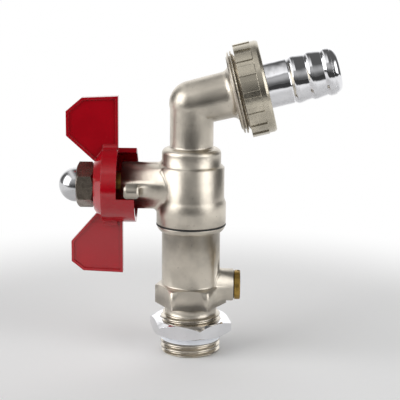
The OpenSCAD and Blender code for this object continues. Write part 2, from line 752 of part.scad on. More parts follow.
// Union nut with grip flutes, turning on the spout's thread
module union_nut() color(nickel) along_spout(union_nut_start) difference() {
    rib_r = union_bore_dia / 2 + union_nut_rib_t;
    floor_r = rib_r - flute_depth;
    rim_r = rib_r - 0.25;
    union() {
        linear_extrude(flute_len) difference() {
            circle(r = rib_r, $fn = 144);
            for (i = [0:flutes - 1]) rotate((i + 0.5) * 360 / flutes)
                translate([floor_r, -flute_w / 2]) square([2, flute_w]);
        }
        rotate_extrude() polygon([
            [0, flute_len - eps], [rim_r, flute_len - eps], [rim_r, union_nut_len - 1],
            [rim_r - 0.35, union_nut_len - 0.2], [rim_r - 0.7, union_nut_len], [0, union_nut_len]]);
    }
    translate([0, 0, -1]) cylinder(d = union_bore_dia, h = end_wall_start - union_nut_start + 1);
    translate([0, 0, -eps]) cylinder(d1 = union_bore_dia + 1.6, d2 = union_bore_dia, h = 0.8);
    cylinder(d = tail_dia + 2 * free_gap, h = union_nut_len + 1);
}

// Outline of one barb: a rounded rise to its land and a long fall towards the tip
module barb_profile(t) {
    crest_r = barb_dia / 2;
    root_r = barb_root_dia / 2;
    land_start = t + 1.4;
    nose = 1.2;
    polygon([[0, t], [root_r, t], [crest_r - 0.25, land_start - 0.75], [crest_r, land_start],
        [crest_r, land_start + barb_land], [root_r + 0.1, t + barb_pitch], [0, t + barb_pitch]]);
    translate([crest_r - nose, land_start]) circle(r = nose);
}

// Hose tail with its flange, plain part and three barbs
module hose_tail() color(chrome) along_spout() rotate_extrude() difference() {
    tip = 2.4;
    tip_r = barb_dia / 2 - 0.55;
    union() {
        polygon([[0, flange_start], [tail_flange_dia / 2, flange_start],
            [tail_flange_dia / 2, end_wall_start - 0.05], [tail_dia / 2, end_wall_start - 0.05],
            [tail_dia / 2, barb_start - 0.4], [barb_root_dia / 2, barb_start],
            [0, barb_start]]);
        intersection() {
            for (i = [0:barbs - 1]) barb_profile(barb_start + i * barb_pitch);
            union() {
                square([barb_dia, tail_end - tip]);
                translate([tip_r - tip, tail_end - tip]) circle(r = tip);
                square([tip_r - tip, tail_end]);
            }
        }
    }
    translate([0, flange_start - 1]) square([tail_bore_dia / 2, tail_end - flange_start + 2]);
}

// Flat gasket between the spout's end and the tail's flange
module union_gasket() color(rubber) along_spout()
    tube_wall(union_bore_dia - tail_flange_play, arm_bore_dia + 2, gasket_start, gasket_len - 0.02);

// Lock nut on the inlet thread
module lock_nut() color(chrome) translate([0, 0, lock_nut_z]) difference() {
    mouth = 1.8;
    rotate([0, 0, lock_nut_turn])
        chamfered_hex(lock_nut_af, lock_nut_len, lock_nut_af - 1.3, lock_nut_af - 0.5)
        hexagon(lock_nut_af);
    translate([0, 0, -1]) cylinder(d = nut_thread_bore, h = lock_nut_len + 2);
    for (z = [0, 1]) translate([0, 0, z * lock_nut_len]) mirror([0, 0, z])
        translate([0, 0, -eps])
            cylinder(d1 = nut_thread_bore + 2 * mouth, d2 = nut_thread_bore, h = mouth / 2 + 0.2);
}

// White sealing ring that fills the thread's roots under the lock nut
module sealing_ring() color(white_plastic) translate([0, 0, ring_z]) rotate_extrude()
    difference() {
        translate([nut_thread_bore / 2, 0])
            square([(sealing_ring_dia - nut_thread_bore) / 2, sealing_ring_len]);
        translate([sealing_ring_dia / 2, 0]) rotate(45) square(0.3, center = true);
        translate([sealing_ring_dia / 2, sealing_ring_len]) rotate(45) square(0.3, center = true);
    }

// Test plug: slotted brass screw that closes the side boss
module test_plug() color(brass) along_boss(boss_reach) difference() {
    head_start = plug_o_ring_section - plug_recess + 0.05;
    union() {
        translate([0, 0, head_start]) cylinder(d = plug_head_dia, h = plug_head_len - 0.3);
        translate([0, 0, head_start + plug_head_len - 0.3])
            cylinder(d1 = plug_head_dia, d2 = plug_head_dia - 0.6, h = 0.3);
        translate([0, 0, -plug_shank_len]) cylinder(d = plug_thread_dia, h = plug_shank_len + 1);
    }
    translate([-plug_head_dia, -plug_slot_w / 2, head_start + plug_head_len - plug_slot_depth])
        cube([2 * plug_head_dia, plug_slot_w, plug_slot_depth + 1]);
}

module test_plug_o_ring() color(rubber)
    along_boss(boss_reach - plug_recess + plug_o_ring_section / 2)
        o_ring(plug_thread_dia + 2 * run_fit, plug_o_ring_section);

// Plastic cartridge of the check valve
module check_valve_housing() color(grey_plastic) difference() {
    rotate_extrude() difference() {
        translate([0, cartridge_z]) square([cartridge_dia / 2, cartridge_len]);
        translate([valve_groove_dia / 2, valve_o_ring_z - 0.6]) square([2, 1.2]);
    }
    rotate_extrude() polygon([
        [0, cartridge_z - 1], [cartridge_hole_dia / 2, cartridge_z - 1],
        [cartridge_hole_dia / 2, seat_face_z], [cartridge_inner_dia / 2, seat_face_z],
        [cartridge_inner_dia / 2, guide_z], [guide_seat_dia / 2, guide_z],
        [guide_seat_dia / 2, cartridge_top + 1], [0, cartridge_top + 1]]);
}

// Spider that guides the poppet's pin and carries the spring
module check_valve_guide() color(white_plastic) difference() {
    ring_bore = cartridge_inner_dia - 1.4;
    hub_dia_guide = 2 * spring_r + 2 * spring_wire;
    union() {
        tube_wall(guide_seat_dia - 2 * run_fit, ring_bore, guide_z, guide_len);
        translate([0, 0, guide_hub_z]) cylinder(d = hub_dia_guide, h = guide_hub_len);
        for (a = [30, 150, 270]) rotate(a)
            translate([0, -0.6, guide_z]) cube([ring_bore / 2 + 0.3, 1.2, guide_len]);
    }
    translate([0, 0, guide_hub_z - 1])
        cylinder(d = poppet_pin_dia + 2 * run_fit, h = cartridge_top - guide_hub_z + 2);
}

// Poppet with its disc, seal groove and guide pin
module check_valve_poppet() color(white_plastic) rotate_extrude() {
    hub_r = cartridge_hole_dia / 2 - 0.7;
    polygon([
        [0, seat_face_z - 0.5], [hub_r + 0.3, seat_face_z - 0.5], [hub_r + 0.3, seat_face_z],
        [hub_r, seat_face_z], [hub_r, poppet_disc_z], [poppet_dia / 2, poppet_disc_z],
        [poppet_dia / 2, poppet_disc_z + poppet_disc_len],
        [poppet_pin_dia / 2, poppet_disc_z + poppet_disc_len],
        [poppet_pin_dia / 2, cartridge_top - 0.6], [0, cartridge_top - 0.6]]);
}

// Rubber ring under the poppet's disc
module poppet_seal() color(rubber)
    tube_wall(poppet_dia, cartridge_hole_dia - 1.4, seat_face_z, poppet_seal_len);

// Points of one ring of the spring's wire, after u of its whole length
function spring_ring(u, sides) = let (
        a = 360 * spring_turns * u, z = spring_start + (spring_end - spring_start) * u)
    [for (k = [0:sides - 1]) let (b = 360 * k / sides, r = spring_r + spring_wire / 2 * cos(b))
        [r * cos(a), r * sin(a), z + spring_wire / 2 * sin(b)]];

// Coil spring that closes the poppet
module check_valve_spring() color(spring_steel) {
    sides = 8;
    rings = 16 * spring_turns;
    points = [for (j = [0:rings]) each spring_ring(j / rings, sides)];
    walls = [for (j = [0:rings - 1], k = [0:sides - 1]) let (n = (k + 1) % sides)
        [j * sides + k, (j + 1) * sides + k, (j + 1) * sides + n, j * sides + n]];
    ends = [[for (k = [0:sides - 1]) k],
        [for (k = [0:sides - 1]) rings * sides + sides - 1 - k]];
    polyhedron(points, concat(walls, ends));
}

module check_valve_o_ring() color(rubber) translate([0, 0, valve_o_ring_z])
    o_ring(valve_groove_dia + 0.02, valve_o_ring_section);

tap_body();
inlet_body();
body_seal_ring();
ball();
upper_ball_seat();
lower_ball_seat();
stem();
stem_thrust_washer();
stem_gland();
stem_o_ring_inner();
stem_o_ring_outer();
handle();
handle_nut();
handle_nut_cap();
handle_nut_insert();
union_nut();
hose_tail();
union_gasket();
lock_nut();
sealing_ring();
test_plug();
test_plug_o_ring();
check_valve_housing();
check_valve_guide();
check_valve_poppet();
poppet_seal();
check_valve_spring();
check_valve_o_ring();
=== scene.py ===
"""Hose tap: finishes, cut threads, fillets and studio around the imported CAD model."""

import math

import bmesh
import bpy
from mathutils import Matrix, Vector


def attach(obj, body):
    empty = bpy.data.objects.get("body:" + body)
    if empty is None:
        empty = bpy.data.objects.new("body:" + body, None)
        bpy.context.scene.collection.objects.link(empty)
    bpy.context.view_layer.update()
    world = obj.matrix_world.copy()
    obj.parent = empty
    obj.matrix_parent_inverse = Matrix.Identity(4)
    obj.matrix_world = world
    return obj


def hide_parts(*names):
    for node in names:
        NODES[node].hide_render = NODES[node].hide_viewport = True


bl_info = {
    "name": "Hose tap",
    "version": (1, 0, 0),
    "blender": (4, 5, 0),
    "location": "View3D > Sidebar > Hose tap",
    "description": "Finishes, cut threads, fillets and studio for a ball-valve hose tap",
    "category": "Object",
}

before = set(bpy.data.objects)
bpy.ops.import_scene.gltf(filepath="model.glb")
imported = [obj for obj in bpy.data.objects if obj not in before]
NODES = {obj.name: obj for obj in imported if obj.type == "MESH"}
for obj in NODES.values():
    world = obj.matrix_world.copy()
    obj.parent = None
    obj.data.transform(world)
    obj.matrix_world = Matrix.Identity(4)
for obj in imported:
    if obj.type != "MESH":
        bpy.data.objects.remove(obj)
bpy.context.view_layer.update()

MM = 0.001
TINY = 1e-6

# Axes and stations of the tap, in metres
STEM_Z = 59.2 * MM
BOSS_Z = 24.0 * MM
SPOUT_CORNER = Vector((0, 0, 87.8 * MM))
SPOUT_RISE = math.radians(14)
SPOUT_AXIS = Vector((math.cos(SPOUT_RISE), 0, math.sin(SPOUT_RISE)))
# Turns local Z onto the spout's axis
SPOUT_FRAME = Matrix.Translation(SPOUT_CORNER) @ Matrix.Rotation(math.pi / 2 - SPOUT_RISE, 4, "Y")


def mm(value, name, description):
    """Length property of a PropertyGroup, given in millimetres."""
    return bpy.props.FloatProperty(
        name=name, description=description, default=value * MM, unit="LENGTH", precision=5)


def tint(value, name, description):
    """Colour property of a PropertyGroup, given in linear values."""
    return bpy.props.FloatVectorProperty(
        name=name, description=description, default=value, size=3, subtype="COLOR", min=0, max=1)


def part(value, name, description):
    """Share property of a PropertyGroup, from 0 to 1."""
    return bpy.props.FloatProperty(
        name=name, description=description, default=value, min=0, max=1, subtype="FACTOR")


class ThreadSizes(bpy.types.PropertyGroup):
    """Sizes of the cut threads."""

    inlet_pitch: mm(1.814, "Inlet pitch", "Rise of the inlet thread in one turn")
    inlet_crest: mm(10.4775, "Inlet crest", "Radius over the inlet thread's crests")
    inlet_root: mm(9.3, "Inlet root", "Radius at the bottom of the inlet thread")
    inlet_length: mm(14.15, "Inlet length", "Height at which the inlet thread runs out")
    inlet_bore: mm(7.5, "Inlet bore", "Radius of the bore inside the inlet")
    inlet_cut: mm(4.75, "Inlet cut", "Height up to which the inlet body is replaced by the thread")
    union_pitch: mm(1.814, "Spout pitch", "Rise of the spout's thread in one turn")
    union_crest: mm(13.22, "Spout crest", "Radius over the spout thread's crests")
    union_root: mm(12.06, "Spout root", "Radius at the bottom of the spout's thread")
    union_cut: mm(17.0, "Spout cut", "Station up the spout from which the body is replaced by the thread")
    union_end: mm(21.2, "Spout end", "Station of the spout's end face")
    union_bore: mm(5.4, "Spout bore", "Radius of the bore inside the spout")


class FilletSizes(bpy.types.PropertyGroup):
    """Radii of the forged fillets."""

    neck_radius: mm(8.1, "Neck radius", "Radius of the stem neck")
    neck_fillet: mm(1.5, "Neck fillet", "Radius of the blend between neck and ball chamber")
    boss_radius: mm(5.65, "Boss radius", "Radius of the side boss")
    boss_fillet: mm(1.0, "Boss fillet", "Radius of the blend between side boss and barrel")
    barrel_radius: mm(10.15, "Barrel radius", "Radius of the barrel that carries the boss")


class FinishColours(bpy.types.PropertyGroup):
    """Colours and gloss of the finishes."""

    nickel: tint((0.62, 0.57, 0.49), "Satin nickel", "Blasted nickel plating on the body")
    nickel_gloss: part(0.34, "Nickel roughness", "Roughness of the blasted nickel")
    nut_nickel: tint((0.60, 0.55, 0.45), "Union nut", "Nickel plating on the ribbed union nut")
    chrome: tint((0.80, 0.80, 0.82), "Chrome", "Bright plating on the hose tail")
    red: tint((0.40, 0.0, 0.007), "Handle red", "Gloss coat on the handle")
    brass: tint((0.42, 0.27, 0.07), "Brass", "Turned brass of the side plug")
    steel: tint((0.26, 0.22, 0.18), "Dark steel", "Darkened plating on the handle nut")
    cap: tint((0.60, 0.60, 0.61), "Cap", "Polished cap of the handle nut")
    nylon: tint((0.84, 0.87, 0.92), "Nylon", "White sealing ring")


class StudioSettings(bpy.types.PropertyGroup):
    """Camera and floor of the studio."""

    lens: bpy.props.FloatProperty(
        name="Lens", description="Focal length of the camera", default=108.0, unit="CAMERA")
    distance: mm(415.8, "Distance", "From the camera to the point it looks at")
    height: mm(54.15, "Height", "Height of the point the camera looks at")
    side: mm(3.04, "Side", "Sideways place of the point the camera looks at")
    azimuth: bpy.props.FloatProperty(
        name="Azimuth", description="Turn of the camera around the tap",
        default=math.radians(1.0), subtype="ANGLE")
    elevation: bpy.props.FloatProperty(
        name="Elevation", description="Angle at which the camera looks down",
        default=math.radians(11.8), subtype="ANGLE")
    roll: bpy.props.FloatProperty(
        name="Roll", description="Turn of the camera about its own line of sight",
        default=math.radians(0.5), subtype="ANGLE")
    floor: tint((0.9, 0.9, 0.9), "Floor", "Colour of the floor around the tap")


# Node kit


class Level:
    """A socket of a node tree that Python's own operators work on."""

    def __init__(self, kit, socket):
        self.kit = kit
        self.socket = socket

    def math(self, operation, first, second=0.0):
        """Adds one Math node and gives its result."""
        return self.kit.node("ShaderNodeMath", {"operation": operation}, {0: first, 1: second})

    def __add__(self, other):
        return self.math("ADD", self, other)

    __radd__ = __add__

    def __sub__(self, other):
        return self.math("SUBTRACT", self, other)

    def __rsub__(self, other):
        return self.math("SUBTRACT", other, self)

    def __mul__(self, other):
        return self.math("MULTIPLY", self, other)

    __rmul__ = __mul__

    def __truediv__(self, other):
        return self.math("DIVIDE", self, other)

    def __pow__(self, other):
        return self.math("POWER", self, other)

    def __abs__(self):
        return self.math("ABSOLUTE", self)

    def above(self, low, high):
        """0 below low, 1 above high and a smooth step between."""
        return self.kit.node(
            "ShaderNodeMapRange", {"interpolation_type": "SMOOTHSTEP"},
            {"Value": self, "From Min": low, "From Max": high})

    def below(self, low, high):
        """1 below low, 0 above high and a smooth step between."""
        return 1 - self.above(low, high)


class NodeKit:
    """Adds nodes to one tree."""

    def __init__(self, tree):
        self.tree = tree

    def node(self, kind, settings=None, values=None, output=0):
        """Adds a node, sets its settings first and then its sockets' values or links."""
        made = self.tree.nodes.new(kind)
        for name, value in (settings or {}).items():
            setattr(made, name, value)
        for name, value in (values or {}).items():
            self.feed(made.inputs[name], value)
        return Level(self, made.outputs[output]) if made.outputs else None

    def feed(self, socket, value):
        """Links or sets one input socket."""
        if isinstance(value, Level):
            self.tree.links.new(value.socket, socket)
        else:
            socket.default_value = value

    def mix(self, share, first, second, blend="MIX"):
        """Mixes two colours."""
        return self.node(
            "ShaderNodeMix", {"data_type": "RGBA", "blend_type": blend, "clamp_factor": True},
            {0: share, 6: colour(first), 7: colour(second)}, output=2)


def colour(value):
    """Four numbers for a colour socket; a socket is passed on."""
    if isinstance(value, Level):
        return value
    return (*value[:3], 1.0)


class Finish(NodeKit):
    """One procedural material built on a Principled shader."""

    def __init__(self, name, metallic, roughness, **constants):
        self.material = bpy.data.materials.new(name)
        self.material.use_nodes = True
        super().__init__(self.material.node_tree)
        self.shader = self.tree.nodes["Principled BSDF"]
        self.set(Metallic=metallic, Roughness=roughness)
        for key, value in constants.items():
            self.feed(self.shader.inputs[key.replace("_", " ")], value)
        self.place = self.node("ShaderNodeTexCoord", output=3)

    def set(self, **values):
        """Sets or links sockets of the shader."""
        for key, value in values.items():
            self.feed(self.shader.inputs[key.replace("_", " ")], value)

    def speckle(self, size, detail=2.0, stretch=(1, 1, 1), turn=0.0, roughness=0.5):
        """Noise whose grains have about the given size in metres, stretched along axes."""
        spot = self.node(
            "ShaderNodeMapping", {"vector_type": "POINT"},
            {"Vector": self.place, "Scale": stretch, "Rotation": (0, turn, 0)})
        return self.node(
            "ShaderNodeTexNoise", None,
            {"Vector": spot, "Scale": 1 / size, "Detail": detail, "Roughness": roughness})

    def bump(self, height, depth, strength=1.0, base=None):
        """Surface relief; depth in metres. base is the normal it builds on."""
        values = {"Height": height, "Distance": depth, "Strength": strength}
        if base is not None:
            values["Normal"] = base
        return self.node("ShaderNodeBump", None, values)

    def soft_edges(self, radius):
        """Normal that rounds sharp edges over the given radius."""
        return self.node("ShaderNodeBevel", {"samples": 4}, {"Radius": radius})


def hand_out(finish, *names):
    """Gives a finish to CAD nodes and to new pieces."""
    for name in names:
        mesh = bpy.data.objects[name].data
        mesh.materials.clear()
        mesh.materials.append(finish.material)


# Finishes


def blasted_nickel(name, base, rough, grain, relief, edge):
    """Nickel plating over a blasted forging: fine sparkling grain, faint clouds and dark pits."""
    f = Finish(name, 1.0, rough)
    clouds = f.speckle(9 * MM, 3.0)
    grains = f.speckle(grain, 2.0, roughness=0.65)
    coarse = f.speckle(grain * 2.6, 1.0)
    pits = f.speckle(1.6 * MM, 4.0, roughness=0.7)
    dark = tuple(c * 0.80 for c in base)
    light = tuple(min(1.0, c * 1.10) for c in base)
    tone = f.mix(clouds.above(0.35, 0.68), dark, light)
    tone = f.mix(pits.below(0.30, 0.36) * 0.45, tone, tuple(c * 0.45 for c in base))
    f.set(Base_Color=tone,
          Roughness=rough + (clouds - 0.5) * 0.10 + (grains - 0.5) * 0.16,
          Normal=f.bump(grains * 0.7 + coarse * 0.3, relief, base=f.soft_edges(edge)))
    return f


def bright_chrome(name, base, rough, wave):
    """Polished plating: almost clear reflections, slow waves and a few faint specks."""
    f = Finish(name, 1.0, rough)
    waves = f.speckle(3.5 * MM, 1.0)
    haze = f.speckle(7 * MM, 3.0)
    specks = f.speckle(0.8 * MM, 3.0, roughness=0.7)
    tone = f.mix(haze.above(0.4, 0.7), base, tuple(c * 0.93 for c in base))
    tone = f.mix(specks.below(0.29, 0.34) * 0.35, tone, (0.30, 0.20, 0.12))
    f.set(Base_Color=tone,
          Roughness=rough + haze.above(0.45, 0.8) * 0.06,
          Normal=f.bump(waves, wave, base=f.soft_edges(0.15 * MM)))
    return f


def gloss_red(name, base):
    """Glossy coat on cast metal: slight orange peel, darker streaks and dust specks."""
    f = Finish(name, 0.0, 0.16, Specular_IOR_Level=0.5, Coat_Weight=0.35, Coat_Roughness=0.08)
    peel = f.speckle(1.1 * MM, 2.0)
    cloud = f.speckle(12 * MM, 3.0)
    dust = f.speckle(0.9 * MM, 2.0, roughness=0.7)
    tone = f.mix(cloud.above(0.3, 0.7), tuple(c * 0.86 for c in base), base)
    tone = f.mix(dust.above(0.72, 0.76) * 0.25, tone, (0.60, 0.12, 0.14))
    f.set(Base_Color=tone,
          Roughness=0.15 + (cloud - 0.5) * 0.12,
          Normal=f.bump(peel, 0.02 * MM, base=f.soft_edges(0.35 * MM)))
    return f


def turned_metal(name, base, rough, stretch, groove=0.006 * MM):
    """Turned or drawn metal with fine lines along one axis."""
    f = Finish(name, 1.0, rough)
    lines = f.speckle(0.5 * MM, 2.0, stretch=stretch)
    stains = f.speckle(2.2 * MM, 3.0, roughness=0.6)
    tone = f.mix(stains.above(0.42, 0.66), base, tuple(c * 0.62 for c in base))
    f.set(Base_Color=tone,
          Roughness=rough + (stains - 0.5) * 0.2,
          Normal=f.bump(lines, groove, base=f.soft_edges(0.15 * MM)))
    return f


def moulded(name, base, rough, grain=0.25 * MM, relief=0.006 * MM):
    """Moulded plastic or rubber with a faint grain."""
    f = Finish(name, 0.0, rough)
    cloud = f.speckle(4 * MM, 2.0)
    grains = f.speckle(grain, 2.0)
    f.set(Base_Color=f.mix(cloud.above(0.35, 0.7), base, tuple(c * 0.9 for c in base)),
          Roughness=rough + (cloud - 0.5) * 0.15,
          Normal=f.bump(grains, relief))
    return f


# Mesh kit


def new_piece(name, bm, body, smooth=math.radians(35)):
    """Turns a bmesh into a piece that rides on a body."""
    bmesh.ops.remove_doubles(bm, verts=bm.verts, dist=TINY)
    bmesh.ops.recalc_face_normals(bm, faces=bm.faces)
    mesh = bpy.data.meshes.new(name)
    bm.to_mesh(mesh)
    bm.free()
    piece = bpy.data.objects.new(name, mesh)
    bpy.context.scene.collection.objects.link(piece)
    mesh.shade_smooth()
    mesh.set_sharp_from_angle(angle=smooth)
    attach(piece, body)
    return piece


def merged_copy(node):
    """bmesh copy of a CAD node with its loose triangles joined."""
    bm = bmesh.new()
    bm.from_mesh(NODES[node].data)
    bmesh.ops.remove_doubles(bm, verts=bm.verts, dist=TINY)
    return bm


def cut_below(bm, point, axis):
    """Removes what lies behind a plane and gives the rim edges that the cut leaves."""
    geometry = bm.verts[:] + bm.edges[:] + bm.faces[:]
    cut = bmesh.ops.bisect_plane(
        bm, geom=geometry, dist=TINY, plane_co=point, plane_no=axis, clear_inner=True)
    return [e for e in cut["geom_cut"] if isinstance(e, bmesh.types.BMEdge)]


# Height share of the rounded thread form over one pitch, from root to crest and back
THREAD_FORM = ((0.0, 0.0), (0.09, 0.05), (0.16, 0.20), (0.34, 0.80), (0.41, 0.95),
               (0.5, 1.0), (0.59, 0.95), (0.66, 0.80), (0.84, 0.20), (0.91, 0.05))


def screw_surface(bm, pitch, root, crest, low, high, steps=96):
    """Spins the thread form up a helix about Z and trims it between two heights."""
    turns_below = 2
    turns = math.ceil((high - low) / pitch) + 2 * turns_below
    chain = []
    for turn in range(turns):
        for along, rise in THREAD_FORM:
            z = low + (turn - turns_below + along) * pitch
            chain.append(bm.verts.new((root + (crest - root) * rise, 0, z)))
    edges = [bm.edges.new(pair) for pair in zip(chain, chain[1:])]
    bmesh.ops.spin(bm, geom=chain + edges, cent=(0, 0, 0), axis=(0, 0, 1),
                   dvec=(0, 0, pitch / steps), angle=2 * math.pi, steps=steps)
    bmesh.ops.remove_doubles(bm, verts=bm.verts, dist=TINY * 5)
    for height, normal in ((low, (0, 0, 1)), (high, (0, 0, -1))):
        cut_below(bm, (0, 0, height), normal)


def rim_edges(bm, height):
    """Open edges that lie at a height."""
    return [e for e in bm.edges
            if e.is_boundary and all(abs(v.co.z - height) < 1e-5 for v in e.verts)]


def draw_in(bm, edges, radius, height):
    """Extrudes a rim to a circle of the given radius and height; gives the new rim."""
    made = bmesh.ops.extrude_edge_only(bm, edges=edges)["geom"]
    for v in (g for g in made if isinstance(g, bmesh.types.BMVert)):
        spot = Vector((v.co.x, v.co.y, 0)).normalized() * radius
        v.co = (spot.x, spot.y, height)
    return [g for g in made if isinstance(g, bmesh.types.BMEdge)]


def chamfer_ends(bm, low, high, crest, size):
    """Keeps the thread inside a 45 degree chamfer at one or both ends."""
    for v in bm.verts:
        radius = math.hypot(v.co.x, v.co.y)
        room = crest - size + min(v.co.z - low, high - v.co.z)
        if radius > room:
            shrink = room / radius
            v.co.x *= shrink
            v.co.y *= shrink


def fillet_strip(bm, pipe, drum, radius, axis_z, side, first, last, steps):
    """Rolling-ball blend between a pipe along X and a drum about Z.

    drum gives the drum's radius at a height; side is -1 or 1, the pipe's way along X.
    """
    rows = 8
    grid = bmesh.ops.create_grid(bm, x_segments=steps, y_segments=rows, size=1)["verts"]
    for v in grid:
        around = first + (last - first) * (v.co.x + 1) / 2
        share = (v.co.y + 1) / 2
        reach = pipe + radius
        y, rise = reach * math.cos(around), reach * math.sin(around)
        far = drum(axis_z + rise) + radius
        centre = Vector((side * math.sqrt(far * far - y * y), y, axis_z + rise))
        to_pipe = Vector((0, -math.cos(around), -math.sin(around)))
        to_drum = Vector((-centre.x, -centre.y, 0)).normalized()
        v.co = centre + to_pipe.slerp(to_drum, share) * (radius + 0.01 * MM)
    return grid


# Operators


class HOSETAP_OT_inlet_thread(bpy.types.Operator):
    """Cut the helical inlet thread and fit the inlet body over it"""

    bl_idname = "hosetap.inlet_thread"
    bl_label = "Inlet thread"

    def execute(self, context):
        size = context.scene.hosetap_threads
        bm = bmesh.new()
        screw_surface(bm, size.inlet_pitch, size.inlet_root, size.inlet_crest, 0, size.inlet_length)
        chamfer_ends(bm, 0, size.inlet_length, size.inlet_crest, 0.7 * MM)
        lip = 0.6 * MM
        inner = size.inlet_bore + 0.02 * MM
        bottom = draw_in(bm, rim_edges(bm, 0), inner + lip, 0)
        bottom = draw_in(bm, bottom, inner, lip)
        bottom = draw_in(bm, bottom, inner, size.inlet_cut)
        bottom = draw_in(bm, bottom, inner + 0.8 * MM, size.inlet_cut + 0.3 * MM)
        top = draw_in(bm, rim_edges(bm, size.inlet_length), inner + 0.8 * MM, size.inlet_length)
        bmesh.ops.bridge_loops(bm, edges=bottom + top)
        thread = new_piece("inlet_thread", bm, "tap", math.radians(50))
        bm = merged_copy("inlet_body")
        rim = cut_below(bm, (0, 0, size.inlet_cut), (0, 0, 1))
        bmesh.ops.bridge_loops(bm, edges=rim)
        shell = new_piece("inlet_shell", bm, "tap")
        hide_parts("inlet_body")
        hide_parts("inlet_body")
        return {"FINISHED"}


class HOSETAP_OT_spout_thread(bpy.types.Operator):
    """Cut the helical thread on the spout's end and fit the body over it"""

    bl_idname = "hosetap.spout_thread"
    bl_label = "Spout thread"

    def execute(self, context):
        size = context.scene.hosetap_threads
        bm = bmesh.new()
        low, high = size.union_cut - 0.1 * MM, size.union_end
        screw_surface(bm, size.union_pitch, size.union_root, size.union_crest, low, high)
        chamfer_ends(bm, low, high, size.union_crest, 0.5 * MM)
        bottom = draw_in(bm, rim_edges(bm, low), size.union_bore, low)
        top = draw_in(bm, rim_edges(bm, high), size.union_bore, high)
        bmesh.ops.bridge_loops(bm, edges=bottom + top)
        bmesh.ops.transform(bm, matrix=SPOUT_FRAME, verts=bm.verts)
        thread = new_piece("spout_thread", bm, "tap", math.radians(50))
        bm = merged_copy("tap_body")
        rim = cut_below(bm, SPOUT_CORNER + SPOUT_AXIS * size.union_cut, -SPOUT_AXIS)
        bmesh.ops.bridge_loops(bm, edges=rim)
        shell = new_piece("forged_shell", bm, "tap")
        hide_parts("tap_body")
        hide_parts("tap_body")
        return {"FINISHED"}


class HOSETAP_OT_fillets(bpy.types.Operator):
    """Blend the stem neck and the side boss into the forging"""

    bl_idname = "hosetap.fillets"
    bl_label = "Fillets"

    def execute(self, context):
        size = context.scene.hosetap_fillets
        # Heights and radii of the ball chamber's outline
        outline = ((46.0, 12.05), (53.4, 12.05), (55.1, 11.4), (65.8, 11.4), (67.0, 10.2), (90, 10.2))

        def chamber(z):
            for (z0, r0), (z1, r1) in zip(outline, outline[1:]):
                if z <= z1 * MM:
                    share = min(1, max(0, (z / MM - z0) / (z1 - z0)))
                    return (r0 + (r1 - r0) * share * share * (3 - 2 * share)) * MM
            return outline[-1][1] * MM

        bm = bmesh.new()
        fillet_strip(bm, size.neck_radius, chamber, size.neck_fillet, STEM_Z, -1,
                     0, 2 * math.pi, 144)
        bmesh.ops.remove_doubles(bm, verts=bm.verts, dist=TINY * 5)
        new_piece("neck_fillet", bm, "tap", math.radians(60))
        bm = bmesh.new()
        fillet_strip(bm, size.boss_radius, lambda z: size.barrel_radius, size.boss_fillet,
                     BOSS_Z, 1, math.radians(2), math.radians(178), 72)
        new_piece("boss_fillet", bm, "tap", math.radians(60))
        return {"FINISHED"}


class HOSETAP_OT_finishes(bpy.types.Operator):
    """Give every piece its plating, paint, plastic or rubber"""

    bl_idname = "hosetap.finishes"
    bl_label = "Finishes"

    def execute(self, context):
        tone = context.scene.hosetap_finishes
        body = blasted_nickel("blasted_nickel", tone.nickel, tone.nickel_gloss,
                              0.42 * MM, 0.055 * MM, 0.35 * MM)
        hand_out(body, "forged_shell", "inlet_shell", "neck_fillet", "boss_fillet",
                 "tap_body", "inlet_body")
        cut = blasted_nickel("cut_nickel", tone.nickel, 0.22, 0.5 * MM, 0.012 * MM, 0.1 * MM)
        hand_out(cut, "inlet_thread", "spout_thread")
        hand_out(blasted_nickel("nut_nickel", tone.nut_nickel, 0.27, 0.5 * MM, 0.03 * MM, 0.25 * MM),
                 "union_nut")
        hand_out(bright_chrome("tail_chrome", tone.chrome, 0.07, 0.12 * MM), "hose_tail", "ball")
        hand_out(bright_chrome("nut_chrome", tone.chrome, 0.05, 0.05 * MM), "lock_nut")
        hand_out(gloss_red("gloss_red", tone.red), "handle")
        hand_out(turned_metal("dark_steel", tone.steel, 0.28, (0.4, 1, 1)), "handle_nut")
        hand_out(bright_chrome("cap_steel", tone.cap, 0.16, 0.02 * MM), "handle_nut_cap")
        hand_out(turned_metal("turned_brass", tone.brass, 0.34, (1, 1, 0.15), 0.02 * MM),
                 "test_plug", "stem", "stem_gland")
        hand_out(turned_metal("spring_steel", (0.5, 0.5, 0.5), 0.3, (1, 1, 1)),
                 "check_valve_spring")
        hand_out(moulded("white_nylon", tone.nylon, 0.42), "sealing_ring")
        hand_out(moulded("seat_plastic", (0.82, 0.82, 0.78), 0.4), "upper_ball_seat",
                 "lower_ball_seat", "stem_thrust_washer", "handle_nut_insert",
                 "check_valve_guide", "check_valve_poppet")
        hand_out(moulded("grey_plastic", (0.52, 0.55, 0.6), 0.4), "check_valve_housing")
        hand_out(moulded("black_rubber", (0.02, 0.02, 0.021), 0.55), "body_seal_ring",
                 "stem_o_ring_inner", "stem_o_ring_outer", "union_gasket", "test_plug_o_ring",
                 "poppet_seal", "check_valve_o_ring")
        return {"FINISHED"}


# Soft boxes of the studio, as azimuth and elevation of the middle, half width and
# half height in degrees, softness of the edge in degrees, and brightness
LIGHTS = (
    ("left_box", -68, 22, 24, 26, 8, 3.0),
    ("right_box", 58, 20, 20, 24, 10, 2.4),
    ("front_fill", -8, 30, 30, 14, 16, 0.4),
    ("top_left", -75, 66, 40, 10, 10, 1.0),
    ("backdrop", 180, 10, 40, 40, 20, 1.2),
)


